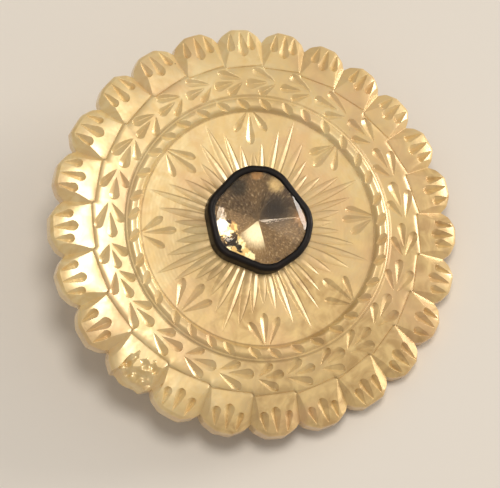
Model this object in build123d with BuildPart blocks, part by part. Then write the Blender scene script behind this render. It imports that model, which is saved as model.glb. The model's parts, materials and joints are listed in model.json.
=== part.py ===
from build123d import *

import math
import os

os.makedirs("parts", exist_ok=True)

# Carved mother-of-pearl dress button with a foil-backed paste stone in a closed setting.
# It lies as it comes to rest: on two neighbouring lobes of its rim and on its wire shank.
# Sizes are in millimetres. Heights on the disc are measured from its flat back, along its axis.
# Turns are in degrees about that axis, seen from the front.

# Pearl disc: outline and section
button_dia = 35.0
field_height = 2.5
rim_height = 1.3
rope_width = 1.2
rope_crest_width = 0.5
rope_rise = 0.36
leaf_band_width = 2.55
leaf_band_rise = 0.05
groove_width = 0.3
groove_depth = 0.25
lobe_reach = 3.4
lobe_fall = 0.17
shoulder_reach = 1.7
shoulder_fall = 0.26
notch_depth = 1.1

# Lobes: cut by hand, so each has its own share of the turn, counted from the low side of the button
low_side_turn = -90.0
lobe_shares = (
    0.95, 0.95, 0.98, 0.99, 0.94, 0.88, 0.89, 0.90, 0.92, 0.93, 0.97, 0.99, 0.99,
    1.03, 1.07, 1.12, 1.07, 1.07, 1.16, 1.10, 1.05, 1.03, 1.06, 1.02, 0.95,
)
valley_floor_height = 0.7
valley_angle = 98.0

# Drops on each lobe: round end and point, in shares of the lobe's reach and of its turn
lobe_drop_radius = 0.36
lobe_drop_depth = 0.34
lobe_place_shares = (
    ((0.44, 0.0), (0.91, 0.0)),
    ((0.54, 0.24), (0.86, 0.25)),
    ((0.54, -0.24), (0.86, -0.25)),
)

# Broken lobe: a flake has been knocked off its tip
broken_turn_share = 0.7378
broken_reach = 2.2
broken_width = 2.4
broken_slope = 40.0

# Leaf band: units of three leaves that run together to a point, each with its own share of the turn
leaf_start_share = 0.0293
leaf_shares = (
    1.05, 1.09, 1.18, 1.08, 1.04, 1.16, 1.03, 0.95, 0.90, 0.90, 0.91, 0.91, 0.98,
    0.95, 1.15, 0.77, 0.90, 1.02, 1.02, 1.04, 1.09, 0.80, 1.00, 0.90, 1.07, 1.13,
)
leaf_radius = 0.37
leaf_depth = 0.3
# Round end and point of each leaf, in shares of the band's width and of the unit's turn
leaf_place_shares = (
    ((0.83, 0.42), (0.57, 0.04)),
    ((0.53, 0.60), (0.53, 0.17)),
    ((0.22, 0.44), (0.46, 0.04)),
)

# Rope ring: slanting notches
rope_notch_count = 36
rope_notch_slant = 38.0
rope_notch_angle = 105.0
rope_notch_depth = 0.3

# Star of rays round the stone, and a fleur of three petals in each valley of the star
fleur_start_share = 0.1138
fleur_shares = (0.893, 1.022, 1.058, 0.969, 0.938, 1.024, 1.122, 0.973)
ray_start_radius = 3.5
ray_half_width = 0.3
ray_depth = 0.26
ray_tip_shares = (0.64, 0.72, 0.85, 0.97, 0.85, 0.72)
petal_radius = 0.41
petal_depth = 0.28
# Round end and point of each petal, in shares of the field's radius and of the sector's turn
petal_place_shares = (
    ((0.755, 0.0), (0.985, 0.0)),
    ((0.82, 0.16), (0.985, 0.03)),
    ((0.82, -0.16), (0.985, -0.03)),
)

# Setting: seven hand-filed sides, a pocket for the stone and a lip turned over its edge.
# It was set a little off the middle of the disc.
collet_radius = 4.8
collet_corner_radius = 2.4
collet_bevel = 0.22
collet_wall = 0.36
collet_floor = 0.25
collet_lip = 0.17
collet_lip_height = 0.28
collet_shift = 0.52
collet_shift_turn = 53.0
collet_start_turn = 14.5
collet_side_shares = (0.106, 0.1536, 0.1503, 0.1728, 0.1306, 0.1058, 0.1809)

# Stone and its foil
foil_thickness = 0.06
pavilion_depth = 0.72
girdle_height = 0.2
crown_height = 0.26
crown_width = 0.9

# Rivet, washer and wire eye at the back
post_radius = 0.9
post_clearance = 0.05
head_radius = 1.5
head_height = 0.4
head_bevel = 0.2
plate_margin = 0.5
plate_thickness = 0.5
wire_radius = 0.5
loop_width = 5.2
loop_drop = 4.5
loop_bend_radius = 1.8

# Cutters start this far above the surface that they cut, and pass this far beyond it
overrun = 1.0
# Flats that round off the end of a drop
drop_flats = 3

# Rings of the face, from the rim inwards
button_radius = button_dia / 2
notch_radius = button_radius - notch_depth
shoulder_radius = button_radius - shoulder_reach
lobe_radius = button_radius - lobe_reach
groove_radius = lobe_radius - groove_width / 2
band_radius = lobe_radius - groove_width
rope_outer_radius = band_radius - leaf_band_width
rope_middle_radius = rope_outer_radius - rope_width / 2
rope_inner_radius = rope_outer_radius - rope_width

# Heights of the rings
rope_height = field_height + rope_rise
band_height = field_height + leaf_band_rise
groove_height = band_height - groove_depth
lobe_height = band_height - lobe_fall
shoulder_height = lobe_height - shoulder_fall

hole_radius = post_radius + post_clearance
plate_radius = loop_width / 2 + wire_radius + plate_margin
skirt_radius = button_radius + overrun
skirt_height = rim_height - overrun * (shoulder_height - rim_height) / (button_radius - shoulder_radius)

# Carved face from the field out to the rim: radius and height at each change of slope
face_section = (
    (0, field_height),
    (rope_inner_radius, field_height),
    (rope_middle_radius - rope_crest_width / 2, rope_height),
    (rope_middle_radius + rope_crest_width / 2, rope_height),
    (rope_outer_radius, band_height),
    (band_radius, band_height),
    (groove_radius, groove_height),
    (lobe_radius, lobe_height),
    (shoulder_radius, shoulder_height),
    (skirt_radius, skirt_height),
)


def between(low, high, share):
    return low + share * (high - low)


def polar(radius, turn):
    return radius * math.cos(math.radians(turn)), radius * math.sin(math.radians(turn))


def on_face(radius, turn):
    """Point of the carved face of the upright disc, before its cuts."""
    for (low, low_height), (high, high_height) in zip(face_section, face_section[1:]):
        if low <= radius <= high:
            height = between(low_height, high_height, (radius - low) / (high - low))
    return Vector(*polar(radius, turn), height)


def hand_spaced(shares, start):
    """Start and width, in degrees, of each unit of a row that was spaced by hand."""
    step = 360.0 / sum(shares)
    return [(start + step * sum(shares[:count]), step * share) for count, share in enumerate(shares)]


def turned(angles):
    """Places turned about the disc's axis."""
    return Locations(*[Location((0, 0, 0), (0, 0, 1), angle) for angle in angles])


def pointed_cutter(seat, mouth, depth):
    """Chip with flat sides: a mouth outline on the seat plane, and a lowest point under its origin."""
    growth = (depth + overrun) / depth
    with BuildPart() as cutter:
        with BuildSketch(seat.offset(overrun), mode=Mode.PRIVATE) as opening:
            with BuildLine():
                Polyline(*[(growth * x, growth * y) for x, y in mouth], close=True)
            make_face()
        bottom = seat.from_local_coords(Vector(0, 0, -depth))
        loft(sections=[opening.sketch.face(), Vertex(*bottom)], ruled=True)
    return cutter.part


def drop_cutter(end, tip, radius, depth):
    """Drop-shaped chip: deepest under its round end, rising along straight sides to its point."""
    along = tip - end
    across = Vector(0, 0, 1).cross(along)
    seat = Plane(origin=end, x_dir=along, z_dir=along.cross(across))
    touch = math.degrees(math.acos(radius / along.length))
    step = (360.0 - 2 * touch) / drop_flats
    mouth = [(along.length, 0)]
    mouth += [polar(radius, touch + step * count) for count in range(drop_flats + 1)]
    return pointed_cutter(seat, mouth, depth)


def valley_cutter():
    """Groove between two lobes: sharp at the ring, wide and deep at the rim."""
    fall = (lobe_height - valley_floor_height) / (button_radius - groove_radius)
    floor = lobe_height - fall * (skirt_radius - groove_radius)
    rise = field_height + overrun - floor
    side = rise * math.tan(math.radians(valley_angle / 2))
    outside = Plane(origin=(skirt_radius, 0, floor), x_dir=(0, 1, 0), z_dir=(1, 0, 0))
    with BuildPart() as cutter:
        with BuildSketch(outside, mode=Mode.PRIVATE) as opening:
            with BuildLine():
                Polyline((0, 0), (side, rise), (-side, rise), close=True)
            make_face()
        loft(sections=[Vertex(groove_radius, 0, lobe_height), opening.sketch.face()], ruled=True)
    return cutter.part


def frustum(low, high, turns):
    """Solid with flat sides between two points of the face's section, with its corners at the given turns."""
    (low_radius, low_height), (high_radius, high_height) = low, high
    corner_radius = low_radius / math.cos(math.pi / len(turns))
    rise = high_height - low_height
    with BuildPart() as flats:
        with BuildSketch(Plane.XY.offset(low_height)):
            with BuildLine():
                Polyline(*[polar(corner_radius, turn) for turn in turns], close=True)
            make_face()
        extrude(amount=rise, taper=math.degrees(math.atan2(low_radius - high_radius, rise)))
    return flats.part


def rope_cutter():
    """Slanting notch across the rope ring."""
    heading = polar(1, rope_notch_slant)
    floor = (rope_middle_radius, 0, rope_height - rope_notch_depth)
    seat = Plane(origin=floor, x_dir=(-heading[1], heading[0], 0), z_dir=(heading[0], heading[1], 0))
    rise = rope_notch_depth + overrun
    side = rise * math.tan(math.radians(rope_notch_angle / 2))
    reach = (rope_outer_radius - rope_inner_radius) / heading[0]
    with BuildPart() as cutter:
        with BuildSketch(seat):
            with BuildLine():
                Polyline((0, 0), (side, rise), (-side, rise), close=True)
            make_face()
        extrude(amount=reach / 2, both=True)
    return cutter.part


def break_cutter():
    """Block whose inner side is the broken face of the damaged lobe."""
    turn = low_side_turn + 360.0 * broken_turn_share
    broken_radius = button_radius - broken_reach
    across, up = polar(1, broken_slope)
    broken = Plane(
        origin=on_face(broken_radius, turn),
        x_dir=Vector(*polar(across, turn), -up),
        z_dir=Vector(*polar(up, turn), across),
    )
    reach = (skirt_radius - broken_radius) / across
    with BuildPart() as cutter:
        with BuildSketch(broken):
            Rectangle(reach, broken_width, align=(Align.MIN, Align.CENTER))
        extrude(amount=reach)
    return cutter.part


lobes = hand_spaced(lobe_shares, low_side_turn)
leaf_units = hand_spaced(leaf_shares, low_side_turn + 360.0 * leaf_start_share)
sectors = hand_spaced(fleur_shares, low_side_turn + 360.0 * fleur_start_share)

# Lean of the button: the floor touches the back edge of the two lowest lobes and the bottom of the wire.
half_pitch = math.radians(lobes[0][1] / 2)
lobe_centre_radius = (button_radius**2 - notch_radius**2) / (
    2 * (button_radius - notch_radius * math.cos(half_pitch))
)
lobe_round_radius = button_radius - lobe_centre_radius
rim_reach = lobe_centre_radius * math.cos(half_pitch) + lobe_round_radius
lean = math.atan2(loop_drop, rim_reach) + math.asin(wire_radius / math.hypot(loop_drop, rim_reach))
rest = Plane(
    origin=(0, 0, rim_reach * math.sin(lean)),
    x_dir=(1, 0, 0),
    z_dir=(0, -math.sin(lean), math.cos(lean)),
)
axial = Plane(origin=rest.origin, x_dir=rest.x_dir, z_dir=-rest.y_dir)
axis = Axis(rest.origin, rest.z_dir)
setting = Plane(
    origin=rest.from_local_coords(Vector(*polar(collet_shift, collet_shift_turn), field_height)),
    x_dir=rest.x_dir,
    z_dir=rest.z_dir,
)


def ring_cuts(units, places, inner, outer, radius, depth):
    """Drops of every unit of a ring, with their ends placed in shares of the ring and of the unit."""
    cuts = []
    for start, width in units:
        for drop in places:
            end, tip = [on_face(between(inner, outer, out), start + width * around) for out, around in drop]
            cuts.append(drop_cutter(end, tip, radius, depth))
    return cuts


lobe_middles = [(start + width / 2, width) for start, width in lobes]
lobe_cuts = ring_cuts(
    lobe_middles, lobe_place_shares, lobe_radius, button_radius, lobe_drop_radius, lobe_drop_depth
)
leaf_cuts = ring_cuts(leaf_units, leaf_place_shares, rope_outer_radius, band_radius, leaf_radius, leaf_depth)
petal_cuts = ring_cuts(sectors, petal_place_shares, 0, rope_inner_radius, petal_radius, petal_depth)
ray_seat = Plane(origin=(ray_start_radius, 0, field_height))

# Flats of the lobes and of the rope, and the sunk field inside the rope
valley_turns = [start for start, width in lobes]
notch_turns = [360.0 * count / rope_notch_count for count in range(rope_notch_count)]
rope_crest_radius = rope_middle_radius + rope_crest_width / 2
rope_flank = (rope_middle_radius - rope_crest_width / 2 - rope_inner_radius) / (rope_height - field_height)
field_depth = rope_height + overrun - field_height
field_mouth = (rope_inner_radius + rope_flank * field_depth, 0)
with BuildPart() as field_cutter:
    add(frustum(field_mouth, (rope_inner_radius, field_depth), notch_turns))
    mirror(about=Plane.XY, mode=Mode.REPLACE)

# Pearl disc: lobed rim, raised middle, rope ring and sunk field, then the carver's cuts
with BuildPart(rest) as pearl_disc:
    with BuildSketch(rest):
        Circle(skirt_radius)
    extrude(amount=skirt_height)
    add(frustum((skirt_radius, skirt_height), (shoulder_radius, shoulder_height), valley_turns))
    add(frustum((shoulder_radius, shoulder_height), (lobe_radius, lobe_height), valley_turns))
    with BuildSketch(rest):
        with BuildLine():
            for start, width in lobes:
                ThreePointArc(
                    polar(notch_radius, start),
                    polar(button_radius, start + width / 2),
                    polar(notch_radius, start + width),
                )
        make_face()
    extrude(amount=lobe_height, mode=Mode.INTERSECT)
    with BuildSketch(rest):
        Circle(groove_radius)
    extrude(amount=band_height)
    add(frustum((rope_outer_radius, band_height), (rope_crest_radius, rope_height), notch_turns))
    with Locations((0, 0, rope_height + overrun)):
        add(field_cutter.part, mode=Mode.SUBTRACT)
    with BuildSketch(axial):
        with BuildLine():
            Polyline(
                (band_radius, band_height),
                (groove_radius, groove_height),
                (lobe_radius, lobe_height),
                (lobe_radius, band_height),
                close=True,
            )
        make_face()
    revolve(axis=axis, mode=Mode.SUBTRACT)
    Cylinder(hole_radius, rope_height * 2, mode=Mode.SUBTRACT)
    with turned(valley_turns):
        add(valley_cutter(), mode=Mode.SUBTRACT)
    add(lobe_cuts, mode=Mode.SUBTRACT)
    add(break_cutter(), mode=Mode.SUBTRACT)
    add(leaf_cuts, mode=Mode.SUBTRACT)
    with PolarLocations(0, rope_notch_count):
        add(rope_cutter(), mode=Mode.SUBTRACT)
    add(petal_cuts, mode=Mode.SUBTRACT)
    for count, tip_share in enumerate(ray_tip_shares):
        reach = rope_inner_radius * tip_share - ray_start_radius
        mouth = ((0, -ray_half_width), (reach, 0), (0, ray_half_width))
        with turned([start + width * count / len(ray_tip_shares) for start, width in sectors]):
            add(pointed_cutter(ray_seat, mouth, ray_depth), mode=Mode.SUBTRACT)
pearl_disc.part.label = "pearl_disc"
export_step(pearl_disc.part, "parts/pearl_disc.step")

# Levels inside the setting, above the field
pocket_level = collet_floor + pavilion_depth
girdle_level = pocket_level + foil_thickness
crown_level = girdle_level + girdle_height
collet_height = crown_level + collet_lip_height
side_turns = [collet_start_turn + 360.0 * sum(collet_side_shares[:n]) for n in range(len(collet_side_shares))]
corners = [polar(collet_radius, turn) for turn in side_turns]


def seven_sides(level, inset):
    """Sharp seven-sided outline at a level of the setting, drawn in from its outside."""
    with BuildSketch(setting.offset(level)) as outline:
        with BuildLine():
            Polyline(*corners, close=True)
        make_face()
        offset(amount=-inset, kind=Kind.INTERSECTION, mode=Mode.REPLACE)
    return outline.sketch.face()


def setting_point(level):
    return Vertex(*setting.from_local_coords(Vector(0, 0, level)))


pocket_face = seven_sides(pocket_level, collet_wall)
girdle_face = seven_sides(girdle_level, collet_wall)
crown_face = seven_sides(crown_level, collet_wall)
crown_taper = math.degrees(math.atan2(crown_width, crown_height))
pocket_point = setting_point(collet_floor)
stone_point = setting_point(collet_floor + foil_thickness)

# Setting, with the stone's own form as its pocket
with BuildPart() as stone_collet:
    with BuildSketch(setting) as collet_outline:
        with BuildLine():
            Polyline(*corners, close=True)
        make_face()
        fillet(collet_outline.vertices(), radius=collet_corner_radius)
    extrude(amount=collet_height)
    chamfer(stone_collet.faces().sort_by(axis)[-1].edges(), length=collet_bevel)
    loft(sections=[pocket_point, pocket_face], ruled=True, mode=Mode.SUBTRACT)
    extrude(to_extrude=pocket_face, amount=crown_level - pocket_level, mode=Mode.SUBTRACT)
    extrude(to_extrude=crown_face, amount=crown_height, taper=crown_taper, mode=Mode.SUBTRACT)
    with BuildSketch(setting.offset(crown_level)) as lip_outline:
        with BuildLine():
            Polyline(*corners, close=True)
        make_face()
        fillet(lip_outline.vertices(), radius=collet_corner_radius)
        offset(amount=-collet_wall - collet_lip, mode=Mode.REPLACE)
    extrude(amount=collet_height, mode=Mode.SUBTRACT)
stone_collet.part.label = "stone_collet"
export_step(stone_collet.part, "parts/stone_collet.step")

# Foil, pressed into the pocket
with BuildPart() as foil_backing:
    loft(sections=[pocket_point, pocket_face], ruled=True)
    extrude(to_extrude=pocket_face, amount=foil_thickness)
    loft(sections=[stone_point, girdle_face], ruled=True, mode=Mode.SUBTRACT)
foil_backing.part.label = "foil_backing"
export_step(foil_backing.part, "parts/foil_backing.step")

# Stone: pointed back, thin girdle, crown facets and a flat table
with BuildPart() as paste_stone:
    loft(sections=[stone_point, girdle_face], ruled=True)
    extrude(to_extrude=girdle_face, amount=girdle_height)
    extrude(to_extrude=crown_face, amount=crown_height, taper=crown_taper)
paste_stone.part.label = "paste_stone"
export_step(paste_stone.part, "parts/paste_stone.step")

# Rivet from the setting through the disc and the washer, closed over at the back
with BuildPart() as shank_post:
    with BuildSketch(axial):
        with BuildLine():
            Polyline(
                (0, field_height),
                (post_radius, field_height),
                (post_radius, -plate_thickness),
                (head_radius, -plate_thickness),
                (head_radius, -plate_thickness - head_height),
                (0, -plate_thickness - head_height),
                close=True,
            )
        make_face()
    revolve(axis=axis)
    chamfer(shank_post.edges().sort_by(axis)[0], length=head_bevel)
shank_post.part.label = "shank_post"
export_step(shank_post.part, "parts/shank_post.step")

# Washer on the flat back
with BuildPart() as back_plate:
    with BuildSketch(rest):
        Circle(plate_radius)
        Circle(hole_radius, mode=Mode.SUBTRACT)
    extrude(amount=-plate_thickness)
back_plate.part.label = "back_plate"
export_step(back_plate.part, "parts/back_plate.step")

# Wire eye, with both ends on the washer
with BuildPart() as shank_loop:
    with BuildLine(axial) as eye:
        FilletPolyline(
            (-loop_width / 2, -plate_thickness),
            (-loop_width / 2, -loop_drop),
            (loop_width / 2, -loop_drop),
            (loop_width / 2, -plate_thickness),
            radius=loop_bend_radius,
        )
    with BuildSketch(Plane(origin=eye.line @ 0, x_dir=rest.x_dir, z_dir=eye.line % 0)):
        Circle(wire_radius)
    sweep()
shank_loop.part.label = "shank_loop"
export_step(shank_loop.part, "parts/shank_loop.step")
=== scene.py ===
"""Carved mother-of-pearl button with a foil-backed paste stone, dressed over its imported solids."""

import json
import math
import random

import bmesh
import bpy
from mathutils import Matrix, Vector, noise


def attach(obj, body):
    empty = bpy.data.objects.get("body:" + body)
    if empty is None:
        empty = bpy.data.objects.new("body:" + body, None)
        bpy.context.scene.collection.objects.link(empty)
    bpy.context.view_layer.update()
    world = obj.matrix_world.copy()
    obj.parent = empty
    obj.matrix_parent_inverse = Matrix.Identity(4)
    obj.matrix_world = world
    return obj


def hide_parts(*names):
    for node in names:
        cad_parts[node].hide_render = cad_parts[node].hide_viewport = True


bl_info = {
    "name": "Carved pearl button",
    "version": (1, 0, 0),
    "blender": (4, 5, 0),
    "location": "3D View > Sidebar > Button",
    "description": "Models a carved mother-of-pearl button with a foiled stone and lights it",
    "category": "Object",
}

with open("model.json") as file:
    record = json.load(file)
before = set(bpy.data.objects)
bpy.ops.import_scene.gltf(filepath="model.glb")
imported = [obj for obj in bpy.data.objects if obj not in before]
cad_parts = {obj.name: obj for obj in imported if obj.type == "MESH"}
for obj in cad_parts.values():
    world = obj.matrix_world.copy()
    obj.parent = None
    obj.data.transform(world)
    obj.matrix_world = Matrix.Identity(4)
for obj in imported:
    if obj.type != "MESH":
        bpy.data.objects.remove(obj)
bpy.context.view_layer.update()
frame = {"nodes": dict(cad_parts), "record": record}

MM = 0.001

# The button is modelled lying flat, in millimetres, with the disc's back on the XY plane. REST lays it down
# as the solids lie. The record's eye mount gives the lean: the thread's way through the eye is square to the
# disc's axis.
EYE_DEPTH = 2.25
eye = frame["record"]["mounts"][0]
LEAN = math.atan2(eye["axis"][2], eye["axis"][1])
REST = (
    Matrix.Translation(Vector(eye["pos_m"]))
    @ Matrix.Rotation(LEAN, 4, "X")
    @ Matrix.Translation((0, 0, EYE_DEPTH * MM))
    @ Matrix.Scale(MM, 4)
)

# Hand spacing of the lobes, the leaf units, the fleurs and the setting's sides: shares of the turn
LOW_SIDE = -90.0
LOBE_SHARES = (
    0.95, 0.95, 0.98, 0.99, 0.94, 0.88, 0.89, 0.90, 0.92, 0.93, 0.97, 0.99, 0.99,
    1.03, 1.07, 1.12, 1.07, 1.07, 1.16, 1.10, 1.05, 1.03, 1.06, 1.02, 0.95,
)
LEAF_START = 0.0293
LEAF_SHARES = (
    1.05, 1.09, 1.18, 1.08, 1.04, 1.16, 1.03, 0.95, 0.90, 0.90, 0.91, 0.91, 0.98,
    0.95, 1.15, 0.77, 0.90, 1.02, 1.02, 1.04, 1.09, 0.80, 1.00, 0.90, 1.07, 1.13,
)
FLEUR_START = 0.1138
FLEUR_SHARES = (0.893, 1.022, 1.058, 0.969, 0.938, 1.024, 1.122, 0.973)
SIDE_START = 14.5
SIDE_SHARES = (0.106, 0.1536, 0.1503, 0.1728, 0.1306, 0.1058, 0.1809)

# Section of the face inside the lobes, from the step at their inner ends to the field: radius and height, mm
STEP_RADIUS = 14.0
HOLE_RADIUS = 0.95
FIELD_HEIGHT = 2.5
FACE = (
    (14.00, 2.22), (13.97, 2.17), (13.93, 2.22), (13.86, 2.28), (13.75, 2.33), (13.60, 2.37),
    (13.40, 2.405), (13.20, 2.43), (12.60, 2.48), (12.00, 2.515), (11.50, 2.545), (11.37, 2.50),
    (11.30, 2.57), (11.22, 2.63), (11.14, 2.61), (11.07, 2.70), (11.00, 2.757), (10.92, 2.805),
    (10.84, 2.837), (10.76, 2.85), (10.46, 2.85), (10.40, 2.838), (10.33, 2.805), (10.26, 2.749),
    (10.18, 2.66), (10.06, 2.51), (10.00, 2.46), (9.92, 2.50), (9.00, 2.50), (7.50, 2.50), (6.00, 2.50),
    (4.50, 2.50), (2.80, 2.50), (HOLE_RADIUS, 2.50),
)
# The step was cut with one straight stroke behind each lobe, a little askew: how far out, skew and sag, mm
STEP_OUT, STEP_SKEW, STEP_SAG = 0.10, 0.14, 0.10
STEP_FADE_START, STEP_FADE_END = 13.2, 13.9
# Crest of a lobe and fall of its sides, from the step (0) to the rim (1), mm
CREST = ((0.0, 2.22), (0.1, 2.205), (0.3, 2.145), (0.5, 2.065), (0.7, 1.95), (0.85, 1.83), (1.0, 1.68))
SIDE_FALL = ((0.0, 0.0), (0.5, 0.03), (1.0, 0.10))
LOBE_RINGS = (1.0, 0.95, 0.88, 0.8, 0.71, 0.62, 0.53, 0.44, 0.35, 0.27, 0.19, 0.12, 0.06, 0.02)
LOBE_STEPS = 20
EDGE_ROUND = 0.26
# Round of the rim above its straight wall, as (drawn in, down), and round of the back
EDGE_STEPS = ((0.0, 0.42), (0.03, 0.24), (0.11, 0.10))
BACK_RADIUS, BACK_ROUND = 8.0, 0.12
# Flats filed on a lobe's end: half width, lean, and how far the shoulders and the tip stand in
TIP_FLAT, TIP_LEAN, TIP_DROP = (0.30, 0.42), 0.03, 0.05
SHOULDER_PLACE, SHOULDER_DROP = 0.78, (0.50, 0.58)
# Polishing has taken this much off the tips of the lobes
TIP_WEAR = 0.03

# Valleys between the lobes: a point at the ring, opening to the rim
VALLEY_START, VALLEY_TOP = 13.93, 2.24
VALLEY_END, VALLEY_FLOOR, VALLEY_OPEN = 18.6, 0.5, 3.2
# Angles of the two flanks from the upright: the file leaned over to one side
VALLEY_ANGLES = (62.0, 52.0)

# Broken lobe: where the flake came off and its half width, then how the broken face falls towards the rim,
# where it drops away, how its sides climb out of the shell, and its lumps as (height, number to the mm, seed)
BROKEN_TURN = LOW_SIDE + 360 * 0.7378
BROKEN_RADIUS, BROKEN_HALF = 15.3, 2.1
BROKEN_REACH, BROKEN_SPARE = (-0.9, 3.0), 0.45
BROKEN_TOP, BROKEN_FALL, BROKEN_CURVE = 2.02, 0.36, 0.06
BROKEN_EDGE, BROKEN_DROP = 1.55, 3.2
BROKEN_SIDE, BROKEN_CLIMB = 0.3, 4.5
BROKEN_LUMPS = ((0.4, 1.6, 3.1), (0.06, 3.6, 9.4))
BROKEN_WANDER, WANDER_PACE, WANDER_SEED = 0.4, 0.9, 5.2
BROKEN_GRID = (56, 60)
CLEAR_OF_DISC = 5.0

# Cutters stand this far out of the face, less where they are thinner than this; four facets make a V
CHIP_LIFT, THIN_CHIP = 0.6, 0.125
V_FACETS, ROUND_FACETS = 4, 8
# How far a cut's end, its tip and its size stray, as shares; ends are round, or longer on the petals
END_STRAY, TIP_STRAY, SIZE_STRAY = 0.018, 0.008, 0.07
ROUND_END, LONG_END = 1.0, 1.7
# Rings round a drop's end and along its sides, and the powers of its end's depth, its sides and its floor
DROP_END_RINGS, DROP_SIDE_RINGS = 4, 7
DROP_END_POWER, DROP_SIDE_POWER, DROP_FLOOR_POWER = 0.8, 0.8, 0.75

# Drops on a lobe: round end and point, in shares of the lobe's reach and turn, with the round end's radius
LOBE_INNER, LOBE_REACH = 14.1, 3.4
LOBE_DROPS = (
    ((0.40, 0.0), (0.91, 0.0), 0.45),
    ((0.53, 0.25), (0.91, 0.21), 0.41),
    ((0.53, -0.25), (0.91, -0.21), 0.41),
)
BAND_INNER, BAND_WIDTH = 11.25, 2.55
LEAF_DROPS = (
    ((0.88, 0.50), (0.61, 0.0), 0.50),
    ((0.48, 0.74), (0.54, 0.22), 0.46),
    ((0.19, 0.37), (0.52, 0.0), 0.40),
)
FIELD_RADIUS = 10.05
PETALS = (
    ((0.775, 0.0), (0.99, 0.0), 0.38),
    ((0.845, 0.158), (0.99, 0.025), 0.36),
    ((0.845, -0.158), (0.99, -0.025), 0.36),
)
RAY_START, RAY_HALF = 3.3, 0.42
RAY_TURN_STRAY, RAY_TIP_STRAY, RAY_HALF_STRAY = 0.05, 0.012, 0.08
# Rings along a ray, its width at the foot and the place where it is full, as shares, and powers of its point
RAY_RINGS, RAY_FOOT, RAY_FULL = 10, 0.5, 0.45
RAY_LATE, RAY_BLUNT = 3, 0.9
RAY_TIPS = (0.64, 0.72, 0.85, 0.97, 0.85, 0.72)
ROPE_CUTS, ROPE_SLANT, ROPE_RADIUS, ROPE_TOP = 36, 38.0, 10.6, 2.84
ROPE_HALF_LENGTH, ROPE_HALF_WIDTH, ROPE_STRAY = 0.85, 0.40, 0.06
# Power of a sine that swells a rope cut: small, so that it is soon at full width
ROPE_SWELLING = 0.4
ROPE_RINGS = 10
# Seeds of the filed rim and of the strays of the cuts
RIM_SEED, CUT_SEED = 7, 21

# Setting, from the field up: middle of its seat, and steps of its wall and lip as (drawn in, up)
SETTING_SHIFT, SETTING_TURN = 0.52, 53.0
CORNER_CUT, CORNER_SEGMENTS = 1.15, 9
# A side longer than this is divided, so that it can bow and waver as hand-filed ones do
LONG_SIDE, SIDE_CUTS = 0.6, 5
# Bows and smaller dents of the wall above its foot: number to the mm and size. They are less upright, and
# the metal has settled a little.
SWAYS, SWAY_SEED = ((0.55, 0.06), (1.7, 0.018)), 5
SWAY_FOOT, SWAY_UPRIGHT, SWAY_SETTLED = 0.1, 0.4, 0.02
WALL_HEIGHT = 1.1
LIP_STEPS = (
    (0.02, 0.16), (0.06, 0.11), (0.11, 0.08), (0.15, 0.02), (0.14, -0.02), (0.09, -0.06), (0.05, -0.1),
    (0.02, -0.1),
)
STONE_INSET = 0.36
FOIL_LEVEL, GIRDLE_LEVEL, CROWN_LEVEL, TABLE_LEVEL = 0.33, 1.03, 1.08, 1.50
TABLE_SHARE = 0.92
# Under the lip's inner edge, then down to the bed: (drawn out or in, up), and the level of the bed's middle
LIP_UNDER, BED_STEP, BED_LEVEL = (0.08, -0.04), (0.005, -0.28), 0.22
# Facets that turn by less than this, in degrees, are one
STONE_BEVEL, ONE_FACET = 0.025, 1
# Foil: how far it hangs below the stone, its wrinkles, its rim above the girdle and its thickness
FOIL_GAP, FOIL_WRINKLE, FOIL_RIM, FOIL_THICKNESS = 0.035, 0.014, 0.02, 0.03
# Pace of the wrinkles round the foil and along it, their seed, and how fast they grow from the point
WRINKLE_ROUND, WRINKLE_ALONG, WRINKLE_SEED, WRINKLE_GROWTH = 0.9, 1.5, 2.0, 3
FOIL_STEPS = 12
FOIL_RINGS = (0.97, 0.9, 0.8, 0.7, 0.6, 0.5, 0.4, 0.3, 0.21, 0.13, 0.06, 0.02)


def linear(code):
    """Linear colour of an sRGB hex value."""
    parts = [int(code[place : place + 2], 16) / 255 for place in (1, 3, 5)]
    return tuple(part / 12.92 if part <= 0.04045 else ((part + 0.055) / 1.055) ** 2.4 for part in parts)


def between(low, high, share):
    return low + share * (high - low)


def polar(radius, turn, height=0.0):
    return Vector((radius * math.cos(math.radians(turn)), radius * math.sin(math.radians(turn)), height))


def along(points, place):
    """Height on a broken line of (place, height) points in rising order."""
    for (low, low_height), (high, high_height) in zip(points, points[1:]):
        if place <= high:
            return between(low_height, high_height, max(0.0, (place - low) / (high - low)))
    return points[-1][1]


def hand_spaced(shares, start):
    """Start and width, in degrees, of each unit of a row that was spaced by hand."""
    step = 360.0 / sum(shares)
    return [(start + step * sum(shares[:count]), step * share) for count, share in enumerate(shares)]


LOBES = hand_spaced(LOBE_SHARES, LOW_SIDE)
LEAVES = hand_spaced(LEAF_SHARES, LOW_SIDE + 360 * LEAF_START)
SECTORS = hand_spaced(FLEUR_SHARES, LOW_SIDE + 360 * FLEUR_START)
SIDES = hand_spaced(SIDE_SHARES, SIDE_START)
RISING_FACE = tuple(reversed(FACE))
SETTING = polar(SETTING_SHIFT, SETTING_TURN, FIELD_HEIGHT)


def size_property(name, description, millimetres):
    return bpy.props.FloatProperty(
        name=name, description=description, default=millimetres * MM, unit="LENGTH", precision=5)


def colour_property(name, description, code):
    return bpy.props.FloatVectorProperty(
        name=name, description=description, default=linear(code), subtype="COLOR", min=0, max=1)


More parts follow.
